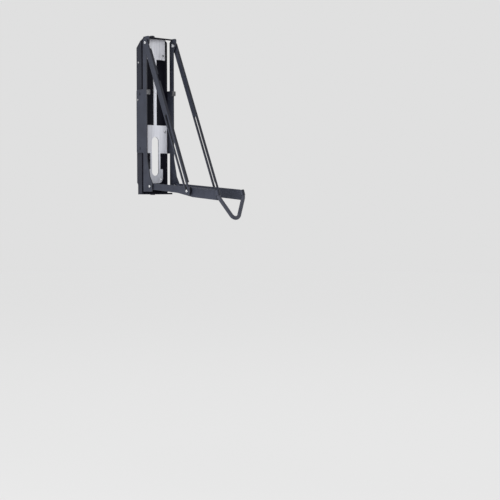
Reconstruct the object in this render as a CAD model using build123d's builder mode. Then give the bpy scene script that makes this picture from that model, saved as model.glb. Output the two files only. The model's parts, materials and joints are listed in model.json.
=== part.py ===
from build123d import *
import os
from math import atan2, cos, degrees, hypot, radians, sin

# Bicycle wall rack: two wall brackets carry a swivelling steel frame. Slotted stays hold up a pair of
# lower arms with a V-shaped wire cradle, and the arms fold up against the frame.
# Millimetres. The wall is the plane Y = 0, +Z is up, +X is right and the rack reaches out along -Y.
# The origin is the middle of the wall-screw pattern. "Out" means the distance from the wall.

# Clearances
running_gap = 0.05      # radial, pin in bush
bolt_gap = 0.05         # radial, fixed bolt, rivet or bush in its hole
face_gap = 0.2          # between faces that turn on each other
open_pivot_gap = 0.3    # slider bolt to lower arm
roller_gap = 0.2        # radial, roller in the stay's slot

# Wall brackets and swivel
swivel_out = 70.0           # wall to swivel axis
wall_plate_thick = 5.0
wall_plate_width = 24.0
wall_plate_corner = 5.0
wall_screw_d = 7.0
upper_screw_drop = 62.0     # upper hinge plate to the outer wall screw
lower_screw_rise = 75.0     # lower hinge plate to the outer wall screw
wall_screw_pitch = 60.0     # outer to inner screw
screw_edge = 20.0           # inner screw to the end of the wall plate
bracket_arm_width = 20.0
bracket_arm_thick = 6.0
bracket_bend_radius = 8.0
pin_d = 10.0
upper_pin_head_d = 22.0
upper_pin_head_thick = 14.0
upper_pin_head_round = 6.0
lower_pin_head_d = 18.0
lower_pin_head_thick = 2.0
lower_pin_head_round = 1.0
pin_nut_flats = 17.0
pin_nut_thick = 7.0
thread_tail = 1.0           # pin or bolt past its nut
swivel_bush_d = 14.0
swivel_flange_d = 22.0
upper_collar_thick = 24.0   # between each hinge plate and its bracket
lower_collar_thick = 20.0

# Back channel: a web facing out, with side walls running back towards the wall
sheet = 2.0
channel_width = 124.0
channel_rear_out = 54.0
channel_depth = 31.0
channel_top = 292.0
channel_bottom = -303.0
channel_bend = 1.5
wall_gap = 12.0             # side walls end below the channel's top
wall_flat = 5.0             # level stretch of each side wall's top, ahead of its 45 degree corner
wall_notch_depth = 6.0      # bottom rear corner
wall_notch_rise = 44.0
lip_depth = 29.0            # forward lips along the top and bottom edges
lip_hem = 6.0
lip_corner = 12.0           # corners cut off the web's top and the top lip's rear

# Hinge plates inside the channel
hinge_plate_thick = 4.0
hinge_drop = 2.0            # channel's top down to the upper hinge plate
hinge_back_height = 50.0    # plate against the web
hinge_neck = 32.0           # upper plate's width at its rear end
hinge_reach = 12.0          # plates reach behind the swivel axis
upper_flange_drop = 106.0
lower_flange_rise = 34.0
hinge_margin = 2.0          # flanges set in from the channel's edges

# Tyre panel and the oblong opening through it
panel_thick = 4.0
panel_width = 114.0
head_width = 96.0           # upper end
panel_gap = 0.5             # below the top lip
panel_bottom = -260.0
panel_corner = 6.0
panel_edge = 1.2
tongue_width = 72.0         # lower end
tongue_corner = 20.0
neck_width = 14.0           # between the upper notches in the panel's sides
waist_width = 48.0          # between the lower notches
upper_notch_top = 212.0
upper_notch_bottom = -38.0
lower_notch_top = -145.0
lower_notch_bottom = -206.0
notch_corner = 5.0
notch_root = 16.0           # round where a notch meets the waist
opening_width = 34.0
opening_bottom = -232.0
opening_height = 150.0
panel_rivets_at = ((38.0, 228.0), (45.0, -62.0), (25.0, -245.0))

# Side rails
rail_thick = 4.0
rail_rear_out = 99.0
rail_width = 23.0
rail_bottom = -292.0
foot_start_z = -165.0
foot_knee_z = -235.0
foot_knee_reach = 17.0      # ahead of the rail's front edge
foot_top_z = -260.0
foot_margin = 14.0          # ahead of the bottom pivot
foot_round = 9.0
tab_rear_out = 57.0
tab_top = 95.0
tab_bottom = -145.0
tab_round = 6.0

# Pivots
top_pivot_out = 124.0
top_pivot_drop = 26.0       # below the channel's top
bottom_pivot_out = 140.0
bottom_pivot_z = -272.0
stay_pivot_out = 371.0      # slider bolt at rest
stay_pivot_z = -290.0
bolt_d = 8.0
bolt_head_d = 13.0
bolt_head_thick = 4.0
head_crown = 0.7            # share of a head's thickness that is rounded
nut_flats = 13.0
nut_thick = 5.0
bush_d = 12.0
washer_d = 20.0
washer_thick = 1.5
ear_shoulder_drop = 13.0    # channel's top to the end of the rail's rear edge
ear_front = 14.0            # ahead of the top pivot
ear_root_drop = 28.0
ear_corner = 6.0

# Stays
stay_width = 25.0
stay_thick = 5.0
stay_end_radius = 16.0
stay_flange_thick = 2.5     # front edge, turned in towards the lower arms
stay_flange_gap = 0.7       # flange to lower arm
stay_flange_ends = 30.0     # flange set in from both pivots
stay_notch_length = 28.0    # flange cut away where the folded cradle passes
slot_margin = 3.0           # spare slot past the folded place
roller_d = 10.0
slider_bolt_d = 6.0
spacer_d = 16.0

# Lower arms
arm_thick = 6.0
arm_root_radius = 12.0
arm_mid_out = 303.0
arm_mid_bottom = -297.0
arm_step_out = 389.0
arm_step_bottom = -312.0
arm_tip_top = -285.0
arm_tip_bottom = -323.0
arm_corner = 12.0
fold_max = 93.0             # degrees, lower arms up

# Stop pads on the rails
pad_z = 83.0
pad_height = 18.0
pad_width = 11.0
pad_round = 2.0

# Wire cradle
wire_d = 14.0
arm_length = 383.0          # bottom pivot to the sleeve's top end
cradle_top = -287.0
cradle_tilt = 19.0          # degrees, out from straight down
sleeve_d = 18.0
sleeve_length = 20.0
sleeve_cap = 4.0
leg_straight = 27.0
cradle_depth = 125.0        # to the corner where the legs would meet
leg_bend = 20.0
tip_bend = 22.0

# Rivets and screws
rivet_d = 5.0
rivet_head_d = 10.0
rivet_head_thick = 2.4
rivet_tail_d = 8.0
rivet_tail_thick = 2.0
rivet_taper = 30.0          # degrees, sides of a panel rivet's head
rail_rivet_out = 76.0
rail_rivet_z = (78.0, -128.0)
side_screw_out = 67.0
tab_screw_z = 57.0
hinge_screw_drop = 92.0     # below the upper hinge plate

edge_break = 0.8
same_place = 0.01           # nearer than this counts as the same place

# Places worked out from the sizes above
top_pivot_z = channel_top - top_pivot_drop
ear_top = channel_top
ear_shoulder_z = ear_top - ear_shoulder_drop
cradle_out = bottom_pivot_out + arm_length
half_channel = channel_width / 2
half_inner = half_channel - sheet
web_front = channel_rear_out + channel_depth
web_rear = web_front - sheet
wall_top = channel_top - wall_gap
wall_corner = channel_depth - wall_flat
wall_notch_z = channel_bottom + wall_notch_rise
upper_hinge_top = channel_top - hinge_drop
upper_hinge_bottom = upper_hinge_top - hinge_plate_thick
upper_arm_top = upper_hinge_bottom - upper_collar_thick - face_gap
lower_hinge_bottom = channel_bottom
lower_hinge_top = lower_hinge_bottom + hinge_plate_thick
lower_arm_bottom = lower_hinge_top + lower_collar_thick + face_gap
hinge_screw_z = upper_hinge_top - hinge_screw_drop
panel_top = channel_top - sheet - panel_gap
rail_front = rail_rear_out + rail_width
rail_inner = half_channel
rail_outer = rail_inner + rail_thick
stay_inner = rail_outer + washer_thick
stay_outer = stay_inner + stay_thick
arm_outer = rail_inner - washer_thick
arm_inner = arm_outer - arm_thick
arm_mid_x = (arm_inner + arm_outer) / 2
foot_front = bottom_pivot_out + foot_margin
ear_edge = top_pivot_out + ear_front
arm_front = cradle_out
sides = (("left", -1), ("right", 1))


def side_plane(x):
    """Plane square to X: its own x runs out from the wall, its own y runs up, and it extrudes to -X."""
    return Plane(origin=(x, 0, 0), x_dir=(0, -1, 0), z_dir=(-1, 0, 0))


def slab_start(sign, inner, outer):
    """X where a slab between two distances from the middle starts, so that it extrudes to -X."""
    return -inner if sign < 0 else outer


def flat_plane(z):
    """Level plane: its own x runs along X, its own y runs out from the wall, and it extrudes downwards."""
    return Plane(origin=(0, 0, z), x_dir=(1, 0, 0), z_dir=(0, 0, -1))


def arm_turned(out, z, angle):
    """Where a point of the lower arms goes when they fold up by an angle."""
    turn = radians(angle)
    d_out = out - bottom_pivot_out
    d_z = z - bottom_pivot_z
    return (bottom_pivot_out + d_out * cos(turn) - d_z * sin(turn),
            bottom_pivot_z + d_out * sin(turn) + d_z * cos(turn))


def finish(builder, name):
    """Labels a piece and writes its file."""
    builder.part.label = name
    export_step(builder.part, f"parts/{name}.step")


def bar_plane(x_from, x_to, out, z):
    """Plane square to X at x_from, extruding towards x_to."""
    return Plane(origin=(x_from, -out, z), x_dir=(0, -1, 0), z_dir=(1 if x_to > x_from else -1, 0, 0))


def dome_head(face_x, sign, out, z, head_d, head_thick):
    """Low domed head standing on the face at face_x, pointing away from the middle."""
    with BuildSketch(bar_plane(face_x, face_x + sign, out, z)) as profile:
        Circle(head_d / 2)
    extrude(profile.sketch, amount=head_thick)
    crown = edges(Select.LAST).filter_by(GeomType.CIRCLE).sort_by(Axis.X)[-1 if sign > 0 else 0]
    fillet(crown, head_thick * head_crown)


def bar_x(x_from, x_to, out, z, diameter, mode=Mode.ADD):
    """Round bar along X."""
    with BuildSketch(bar_plane(x_from, x_to, out, z)) as profile:
        Circle(diameter / 2)
    extrude(profile.sketch, amount=abs(x_to - x_from), mode=mode)


def hex_x(x_from, x_to, out, z, flats):
    """Hexagonal nut blank along X."""
    with BuildSketch(bar_plane(x_from, x_to, out, z)) as profile:
        RegularPolygon(flats / 2, 6, major_radius=False)
    extrude(profile.sketch, amount=abs(x_to - x_from))


def ring_x(x_from, x_to, out, z, outer_d, inner_d):
    """Ring along X: a bush, washer or roller."""
    with BuildSketch(bar_plane(x_from, x_to, out, z)) as profile:
        Circle(outer_d / 2)
        Circle(inner_d / 2, mode=Mode.SUBTRACT)
    extrude(profile.sketch, amount=abs(x_to - x_from))


os.makedirs("parts", exist_ok=True)

# How far the stay swings and the slider travels when the arms are folded up
rest_out = stay_pivot_out - top_pivot_out
rest_drop = top_pivot_z - stay_pivot_z
stay_length = hypot(rest_out, rest_drop)
stay_angle = degrees(atan2(rest_out, rest_drop))
folded_out, folded_z = arm_turned(stay_pivot_out, stay_pivot_z, fold_max)
folded_length = hypot(folded_out - top_pivot_out, top_pivot_z - folded_z)
folded_angle = degrees(atan2(folded_out - top_pivot_out, top_pivot_z - folded_z))
slider_travel = stay_length - folded_length
stay_swing = stay_angle - folded_angle
print(f"stay swing {stay_swing:.3f} degrees, slider travel {slider_travel:.3f} mm")
print(f"stay length {stay_length:.3f} mm at {stay_angle:.3f} degrees from vertical")

# Upper and lower wall brackets with their pins, nuts and bushes, as distances above or below the middle.
# Both arms run inside the channel, the upper one below its hinge plate and the lower one above its own.
swivels = (
    {
        "name": "upper",
        "up": 1,
        "arm_near": upper_arm_top - bracket_arm_thick,
        "screw": upper_hinge_top - upper_screw_drop,
        "head_face": upper_hinge_top + face_gap,
        "head_d": upper_pin_head_d,
        "head_thick": upper_pin_head_thick,
        "head_round": upper_pin_head_round,
        "nut_face": upper_arm_top - bracket_arm_thick,
        "collar": (upper_hinge_bottom - upper_collar_thick, upper_hinge_bottom),
        "plate": (upper_hinge_bottom, upper_hinge_top),
    },
    {
        "name": "lower",
        "up": -1,
        "arm_near": -lower_arm_bottom - bracket_arm_thick,
        "screw": -lower_hinge_bottom - lower_screw_rise,
        "head_face": -lower_hinge_bottom + face_gap,
        "head_d": lower_pin_head_d,
        "head_thick": lower_pin_head_thick,
        "head_round": lower_pin_head_round,
        "nut_face": -lower_arm_bottom - bracket_arm_thick,
        "collar": (-lower_hinge_top - lower_collar_thick, -lower_hinge_top),
        "plate": (-lower_hinge_top, -lower_hinge_bottom),
    },
)
for swivel in swivels:
    name = swivel["name"]
    up = swivel["up"]
    arm_near = swivel["arm_near"]
    arm_far = arm_near + bracket_arm_thick
    far_screw = swivel["screw"]
    near_screw = far_screw - wall_screw_pitch
    plate_end = near_screw - screw_edge

    with BuildPart() as bracket:
        with BuildSketch(Plane.XZ):
            with Locations((0, up * (arm_far + plate_end) / 2)):
                RectangleRounded(wall_plate_width, arm_far - plate_end, wall_plate_corner)
            with Locations((0, up * far_screw), (0, up * near_screw)):
                Circle(wall_screw_d / 2, mode=Mode.SUBTRACT)
        extrude(amount=wall_plate_thick)
        with BuildSketch(flat_plane(up * arm_far if up > 0 else up * arm_near)):
            with Locations((0, swivel_out / 2)):
                Rectangle(bracket_arm_width, swivel_out)
            with Locations((0, swivel_out)):
                Circle(bracket_arm_width / 2)
                Circle(pin_d / 2 + bolt_gap, mode=Mode.SUBTRACT)
        extrude(amount=bracket_arm_thick)
        inside_bend = [e for e in bracket.edges().filter_by(Axis.X)
                       if abs(e.center().Y + wall_plate_thick) < same_place
                       and abs(e.center().Z - up * arm_near) < same_place]
        fillet(inside_bend, bracket_bend_radius)
    finish(bracket, f"{name}_wall_bracket")

    head_face = swivel["head_face"]
    nut_face = swivel["nut_face"]
    with BuildPart() as pin:
        with BuildSketch(Plane.XY.offset(up * head_face)):
            with Locations((0, -swivel_out)):
                Circle(swivel["head_d"] / 2)
        extrude(amount=up * swivel["head_thick"])
        with BuildSketch(Plane.XY.offset(up * head_face)):
            with Locations((0, -swivel_out)):
                Circle(pin_d / 2)
        extrude(amount=-up * (head_face - nut_face + pin_nut_thick + thread_tail))
        rim = pin.faces().sort_by(Axis.Z)[-1 if up > 0 else 0].edges()
        fillet(rim, swivel["head_round"])
    finish(pin, f"{name}_swivel_pin")

    with BuildPart() as pin_nut:
        with BuildSketch(Plane.XY.offset(up * nut_face)):
            with Locations((0, -swivel_out)):
                RegularPolygon(pin_nut_flats / 2, 6, major_radius=False)
                Circle(pin_d / 2 + bolt_gap, mode=Mode.SUBTRACT)
        extrude(amount=-up * pin_nut_thick)
    finish(pin_nut, f"{name}_pin_nut")

    with BuildPart() as swivel_bush:
        for (start, end), outer_d in ((swivel["collar"], swivel_flange_d), (swivel["plate"], swivel_bush_d)):
            with BuildSketch(Plane.XY.offset(up * start)):
                with Locations((0, -swivel_out)):
                    Circle(outer_d / 2)
                    Circle(pin_d / 2 + running_gap, mode=Mode.SUBTRACT)
            extrude(amount=up * (end - start))
    finish(swivel_bush, f"{name}_swivel_bush")

# Back channel, folded from one sheet, with a lip at the top and another at the bottom
with BuildPart() as channel:
    with BuildSketch(Plane.XZ.offset(web_rear)):
        with BuildLine():
            Polyline(
                (-half_channel, channel_bottom),
                (half_channel, channel_bottom),
                (half_channel, channel_top - lip_corner),
                (half_channel - lip_corner, channel_top),
                (lip_corner - half_channel, channel_top),
                (-half_channel, channel_top - lip_corner),
                close=True,
            )
        make_face()
    extrude(amount=sheet)
    for _, sign in sides:
        with BuildSketch(side_plane(slab_start(sign, half_inner, half_channel))):
            with BuildLine():
                Polyline(
                    (web_front, channel_bottom),
                    (channel_rear_out + wall_notch_depth, channel_bottom),
                    (channel_rear_out + wall_notch_depth, wall_notch_z - wall_notch_depth),
                    (channel_rear_out, wall_notch_z),
                    (channel_rear_out, wall_top - wall_corner),
                    (web_front - wall_flat, wall_top),
                    (web_front, wall_top),
                    close=True,
                )
            make_face()
        extrude(amount=sheet)
    bends = channel.edges().filter_by(Axis.Z).filter_by(lambda e: abs(e.center().Y + web_front) < same_place)
    fillet([e for e in bends if abs(abs(e.center().X) - half_channel) < same_place], channel_bend)
    with BuildSketch(flat_plane(channel_top)):
        with BuildLine():
            Polyline(
                (lip_corner - half_channel, web_front),
                (-half_channel, web_front + lip_corner),
                (-half_channel, web_front + lip_depth - sheet),
                (half_channel, web_front + lip_depth - sheet),
                (half_channel, web_front + lip_corner),
                (half_channel - lip_corner, web_front),
                close=True,
            )
        make_face()
    extrude(amount=sheet)
    with BuildSketch(flat_plane(channel_bottom + sheet)):
        with Locations((0, web_front + (lip_depth - sheet) / 2)):
            Rectangle(2 * half_channel, lip_depth - sheet)
    extrude(amount=sheet)
    hem_front = web_front + lip_depth
    for hem_mid in (channel_top - lip_hem / 2, channel_bottom + lip_hem / 2):
        with BuildSketch(Plane.XZ.offset(hem_front - sheet)):
            with Locations((0, hem_mid)):
                Rectangle(channel_width, lip_hem)
        extrude(amount=sheet)
    hem_edges = channel.edges().filter_by(Axis.X).group_by(Axis.Y)[0].sort_by(Axis.Z)
    fillet([hem_edges[0], hem_edges[-1]], channel_bend)
    with BuildSketch(Plane.XZ.offset(web_rear)):
        with Locations((0, opening_bottom + opening_height / 2)):
            SlotOverall(opening_height, opening_width, rotation=90)
        for x, z in panel_rivets_at:
            with Locations((-x, z), (x, z)):
                Circle(rivet_d / 2 + bolt_gap)
    extrude(amount=sheet, mode=Mode.SUBTRACT)
    for z in rail_rivet_z:
        bar_x(-half_channel, half_channel, rail_rivet_out, z, rivet_d + 2 * bolt_gap, Mode.SUBTRACT)
    for z in (tab_screw_z, hinge_screw_z):
        bar_x(-half_channel, half_channel, side_screw_out, z, rivet_d + 2 * bolt_gap, Mode.SUBTRACT)
finish(channel, "back_channel")

# Upper hinge plate: a level plate, a plate against the web and flanges against the side walls
hinge_rear = channel_rear_out + hinge_margin
flange_top = wall_top - hinge_margin
back_corner = lip_corner + sheet
with BuildPart() as upper_hinge:
    with BuildSketch(Plane.XZ.offset(web_rear - sheet)):
        with BuildLine():
            Polyline(
                (-half_inner, upper_hinge_top - hinge_back_height),
                (half_inner, upper_hinge_top - hinge_back_height),
                (half_inner, upper_hinge_top - back_corner),
                (half_inner - back_corner, upper_hinge_top),
                (back_corner - half_inner, upper_hinge_top),
                (-half_inner, upper_hinge_top - back_corner),
                close=True,
            )
        make_face()
    extrude(amount=sheet)
    with BuildSketch(flat_plane(upper_hinge_top)):
        with BuildLine():
            Polyline(
                (back_corner - half_inner, web_rear),
                (half_inner - back_corner, web_rear),
                (hinge_neck / 2, swivel_out - hinge_reach),
                (-hinge_neck / 2, swivel_out - hinge_reach),
                close=True,
            )
        make_face()
        with Locations((0, swivel_out)):
            Circle(swivel_bush_d / 2 + bolt_gap, mode=Mode.SUBTRACT)
    extrude(amount=hinge_plate_thick)
    for _, sign in sides:
        with BuildSketch(side_plane(slab_start(sign, half_inner - sheet, half_inner))):
            with BuildLine():
                Polyline(
                    (web_rear, flange_top),
                    (web_rear, upper_hinge_top - upper_flange_drop),
                    (hinge_rear, upper_hinge_top - upper_flange_drop),
                    (hinge_rear, flange_top - wall_corner),
                    (web_front - wall_flat + hinge_margin, flange_top),
                    close=True,
                )
            make_face()
        extrude(amount=sheet)
    bar_x(-half_inner, half_inner, side_screw_out, hinge_screw_z, rivet_d + 2 * bolt_gap, Mode.SUBTRACT)
finish(upper_hinge, "upper_hinge_plate")

# Lower hinge plate: a level plate across the channel, with flanges against its side walls
with BuildPart() as lower_hinge:
    with BuildSketch(flat_plane(lower_hinge_bottom + hinge_plate_thick)):
        with Locations((0, (swivel_out - hinge_reach + web_rear) / 2)):
            Rectangle(2 * half_inner, web_rear - swivel_out + hinge_reach)
        with Locations((0, swivel_out)):
            Circle(swivel_bush_d / 2 + bolt_gap, mode=Mode.SUBTRACT)
    extrude(amount=hinge_plate_thick)
    for _, sign in sides:
        with BuildSketch(side_plane(slab_start(sign, half_inner - sheet, half_inner))):
            with Locations(((swivel_out + web_rear) / 2, lower_hinge_bottom + lower_flange_rise / 2)):
                Rectangle(web_rear - swivel_out, lower_flange_rise)
        extrude(amount=sheet)
finish(lower_hinge, "lower_hinge_plate")

# Pale panel that the tyre leans on: a head plate, a neck, a body plate and a tongue
with BuildPart() as panel:
    with BuildSketch(Plane.XZ.offset(web_front)) as panel_face:
        right_edge = [
            (head_width / 2, panel_top),
            (head_width / 2, upper_notch_top),
            (neck_width / 2, upper_notch_top),
            (neck_width / 2, upper_notch_bottom),
            (panel_width / 2, upper_notch_bottom),
            (panel_width / 2, lower_notch_top),
            (waist_width / 2, lower_notch_top),
            (waist_width / 2, lower_notch_bottom),
            (tongue_width / 2, lower_notch_bottom),
            (tongue_width / 2, panel_bottom),
        ]
        left_edge = [(-x, z) for x, z in reversed(right_edge)]
        with BuildLine():
            Polyline(*right_edge, *left_edge, close=True)
        make_face()
        corners = panel_face.vertices().sort_by(Axis.Y)
        inner = (neck_width / 2, waist_width / 2)
        inner_corners = corners.filter_by(lambda v: min(abs(abs(v.X) - x) for x in inner) < same_place)
        roots = inner_corners.filter_by(lambda v: v.Y > lower_notch_bottom + same_place)
        others = [v for v in corners[2:-2] if v not in roots]
        fillet(corners[:2], tongue_corner)
        fillet(roots, notch_root)
        fillet(others, notch_corner)
        fillet(corners[-2:], panel_corner)
        with Locations((0, opening_bottom + opening_height / 2)):
            SlotOverall(opening_height, opening_width, rotation=90, mode=Mode.SUBTRACT)
        for x, z in panel_rivets_at:
            with Locations((-x, z), (x, z)):
                Circle(rivet_d / 2 + bolt_gap, mode=Mode.SUBTRACT)
    extrude(amount=panel_thick)
    front_rim = panel.faces().sort_by(Axis.Y)[0].outer_wire().edges()
    fillet(front_rim, panel_edge)
finish(panel, "tyre_panel")

with BuildPart() as panel_rivets:
    for x, z in panel_rivets_at:
        for rivet_x in (-x, x):
            with BuildSketch(Plane.XZ.offset(web_front + panel_thick)):
                with Locations((rivet_x, z)):
                    Circle(rivet_head_d / 2)
            extrude(amount=rivet_head_thick, taper=rivet_taper)
            with BuildSketch(Plane.XZ.offset(web_rear)):
                with Locations((rivet_x, z)):
                    Circle(rivet_d / 2)
            extrude(amount=sheet + panel_thick)
            with BuildSketch(Plane.XZ.offset(web_rear - rivet_tail_thick)):
                with Locations((rivet_x, z)):
                    Circle(rivet_tail_d / 2)
            extrude(amount=rivet_tail_thick)
finish(panel_rivets, "panel_rivets")

# Side rails: an upright bar with an ear at the top, a foot at the bottom and a tab over the channel
for side, sign in sides:
    with BuildPart() as rail:
        with BuildSketch(side_plane(slab_start(sign, rail_inner, rail_outer))) as rail_face:
            with BuildLine():
                Polyline(
                    (rail_rear_out, ear_shoulder_z),
                    (rail_rear_out, tab_top),
                    (tab_rear_out, tab_top),
                    (tab_rear_out, tab_bottom),
                    (rail_rear_out, tab_bottom),
                    (rail_rear_out, rail_bottom),
                    (foot_front, rail_bottom),
                    (foot_front, foot_top_z),
                    (rail_front + foot_knee_reach, foot_knee_z),
                    (rail_front, foot_start_z),
                    (rail_front, top_pivot_z - ear_root_drop),
                    (ear_edge, top_pivot_z),
                    (ear_edge, ear_top),
                    (rail_rear_out + ear_top - ear_shoulder_z, ear_top),
                    close=True,
                )
            make_face()
            fillet(rail_face.vertices().filter_by(lambda v: abs(v.X - tab_rear_out) < same_place), tab_round)
            fillet(rail_face.vertices().filter_by(lambda v: abs(v.X - foot_front) < same_place), foot_round)
            fillet(rail_face.vertices().filter_by(lambda v: abs(v.Y - foot_knee_z) < same_place), foot_round)
            fillet(rail_face.vertices().filter_by(lambda v: abs(v.X - ear_edge) < same_place), ear_corner)
            with Locations((top_pivot_out, top_pivot_z), (bottom_pivot_out, bottom_pivot_z)):
                Circle(bolt_d / 2 + bolt_gap, mode=Mode.SUBTRACT)
            with Locations(*[(rail_rivet_out, z) for z in rail_rivet_z], (side_screw_out, tab_screw_z)):
                Circle(rivet_d / 2 + bolt_gap, mode=Mode.SUBTRACT)
        extrude(amount=rail_thick)
        outer_face = rail.faces().sort_by(Axis.X)[0 if sign < 0 else -1]
        chamfer(outer_face.outer_wire().edges(), edge_break)
    finish(rail, f"{side}_side_rail")

with BuildPart() as rail_rivets:
    for _, sign in sides:
        for z in rail_rivet_z:
            bar_x(sign * (half_inner - rivet_tail_thick), sign * half_inner, rail_rivet_out, z, rivet_tail_d)
            bar_x(sign * half_inner, sign * rail_outer, rail_rivet_out, z, rivet_d)
            dome_head(sign * rail_outer, sign, rail_rivet_out, z, rivet_head_d, rivet_head_thick)
finish(rail_rivets, "rail_rivets")

# Bright screws at the rear of each side: the upper one holds the hinge plate, the lower one the rail's tab
with BuildPart() as side_screws:
    for _, sign in sides:
        screws = (
            (hinge_screw_z, half_inner - sheet, half_channel),
            (tab_screw_z, half_inner, rail_outer),
        )
        for z, inner, outer in screws:
            bar_x(sign * (inner - rivet_tail_thick), sign * inner, side_screw_out, z, rivet_tail_d)
            bar_x(sign * inner, sign * outer, side_screw_out, z, rivet_d)
            dome_head(sign * outer, sign, side_screw_out, z, rivet_tail_d, rivet_tail_thick)
finish(side_screws, "side_screws")

# Rubber stop pads on the rails' front edges, which the folded arms lean on
pad_along = pad_z - bottom_pivot_z
arm_edge_slope = (arm_tip_top - bottom_pivot_z - arm_root_radius) / (arm_front - bottom_pivot_out)
pad_touch_out, _ = arm_turned(bottom_pivot_out + pad_along,
                              bottom_pivot_z + arm_root_radius + arm_edge_slope * pad_along, fold_max)
pad_reach = pad_touch_out - rail_front - 2 * open_pivot_gap
with BuildPart() as pads:
    for _, sign in sides:
        with BuildSketch(side_plane(slab_start(sign, rail_outer - pad_width, rail_outer))) as pad_face:
            with Locations((rail_front + pad_reach / 2, pad_z)):
                Rectangle(pad_reach, pad_height)
            fillet(pad_face.vertices().group_by(Axis.X)[-1], pad_round)
        extrude(amount=pad_width)
finish(pads, "stop_pads")

# Top pivots, where the stays hang
with BuildPart() as top_bolts:
    for _, sign in sides:
        head_x = sign * (stay_outer + face_gap)
        bar_x(sign * (rail_inner - nut_thick - thread_tail), head_x, top_pivot_out, top_pivot_z, bolt_d)
        dome_head(head_x, sign, top_pivot_out, top_pivot_z, bolt_head_d, bolt_head_thick)
finish(top_bolts, "top_pivot_bolts")

with BuildPart() as top_nuts:
    for _, sign in sides:
        hex_x(sign * (rail_inner - nut_thick), sign * rail_inner, top_pivot_out, top_pivot_z, nut_flats)
        bar_x(sign * (rail_inner - nut_thick), sign * rail_inner, top_pivot_out, top_pivot_z,
              bolt_d + 2 * bolt_gap, Mode.SUBTRACT)
finish(top_nuts, "top_pivot_nuts")

with BuildPart() as top_washers:
    for _, sign in sides:
        ring_x(sign * rail_outer, sign * (stay_inner - face_gap), top_pivot_out, top_pivot_z,
               washer_d, bolt_d + 2 * bolt_gap)
finish(top_washers, "top_pivot_washers")

with BuildPart() as stay_bushes:
    for _, sign in sides:
        ring_x(sign * stay_inner, sign * stay_outer, top_pivot_out, top_pivot_z,
               bush_d, bolt_d + 2 * running_gap)
finish(stay_bushes, "stay_bushes")

# Bottom pivots, where the lower arms fold
with BuildPart() as bottom_bolts:
    for _, sign in sides:
        bar_x(sign * (arm_inner - face_gap - nut_thick), sign * rail_outer,
              bottom_pivot_out, bottom_pivot_z, bolt_d)
        dome_head(sign * rail_outer, sign, bottom_pivot_out, bottom_pivot_z, bolt_head_d, bolt_head_thick)
finish(bottom_bolts, "bottom_pivot_bolts")

with BuildPart() as bottom_nuts:
    for _, sign in sides:
        inner_x = sign * (arm_inner - face_gap - nut_thick)
        outer_x = sign * (arm_inner - face_gap)
        hex_x(inner_x, outer_x, bottom_pivot_out, bottom_pivot_z, nut_flats)
        bar_x(inner_x, outer_x, bottom_pivot_out, bottom_pivot_z, bolt_d + 2 * bolt_gap, Mode.SUBTRACT)
finish(bottom_nuts, "bottom_pivot_nuts")

with BuildPart() as bottom_washers:
    for _, sign in sides:
        ring_x(sign * (arm_outer + face_gap), sign * rail_inner, bottom_pivot_out, bottom_pivot_z,
               washer_d, bolt_d + 2 * bolt_gap)
finish(bottom_washers, "bottom_pivot_washers")

with BuildPart() as arm_bushes:
    for _, sign in sides:
        ring_x(sign * arm_inner, sign * arm_outer, bottom_pivot_out, bottom_pivot_z,
               bush_d, bolt_d + 2 * running_gap)
finish(arm_bushes, "arm_bushes")

# Stays: bars from the top pivot, with a long slot in the lower half and a flange along the front edge
stay_mid = ((top_pivot_out + stay_pivot_out) / 2, (top_pivot_z + stay_pivot_z) / 2)
stay_tilt = stay_angle - 90
slot_width = roller_d + 2 * roller_gap
slot_reach = slider_travel + slot_margin
slot_share = (stay_length - slot_reach / 2) / stay_length
slot_mid = (top_pivot_out + rest_out * slot_share, top_pivot_z - rest_drop * slot_share)
flange_side = (stay_width - stay_flange_thick) / 2
flange_mid = (stay_mid[0] + flange_side * cos(radians(stay_angle)),
              stay_mid[1] + flange_side * sin(radians(stay_angle)))
flange_inner = arm_outer + stay_flange_gap
sleeve_out, sleeve_z = arm_turned(cradle_out + sleeve_length / 2 * sin(radians(cradle_tilt)),
                                  cradle_top - sleeve_length / 2 * cos(radians(cradle_tilt)), fold_max)
notch_along = ((sleeve_out - top_pivot_out) * sin(radians(folded_angle))
               + (top_pivot_z - sleeve_z) * cos(radians(folded_angle)))
notch_shift = (notch_along - stay_length / 2) / stay_length
notch_mid = (flange_mid[0] + rest_out * notch_shift, flange_mid[1] - rest_drop * notch_shift)
for side, sign in sides:
    with BuildPart() as stay:
        with BuildSketch(side_plane(slab_start(sign, stay_inner, stay_outer))):
            with Locations(Location((stay_mid[0], stay_mid[1], 0), (0, 0, stay_tilt))):
                SlotCenterToCenter(stay_length, stay_width)
            with Locations((stay_pivot_out, stay_pivot_z)):
                Circle(stay_end_radius)
            with Locations((top_pivot_out, top_pivot_z)):
                Circle(bush_d / 2 + bolt_gap, mode=Mode.SUBTRACT)
            with Locations(Location((slot_mid[0], slot_mid[1], 0), (0, 0, stay_tilt))):
                SlotCenterToCenter(slot_reach, slot_width, mode=Mode.SUBTRACT)
        extrude(amount=stay_thick)
        outer_face = stay.faces().sort_by(Axis.X)[0 if sign < 0 else -1]
        chamfer(outer_face.outer_wire().edges(), edge_break)
        with BuildSketch(side_plane(slab_start(sign, flange_inner, stay_inner))):
            with Locations(Location((flange_mid[0], flange_mid[1], 0), (0, 0, stay_tilt))):
                Rectangle(stay_length - 2 * stay_flange_ends, stay_flange_thick)
            with Locations(Location((notch_mid[0], notch_mid[1], 0), (0, 0, stay_tilt))):
                Rectangle(stay_notch_length, 2 * stay_flange_thick, mode=Mode.SUBTRACT)
        extrude(amount=stay_inner - flange_inner)
    finish(stay, f"{side}_stay")

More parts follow.
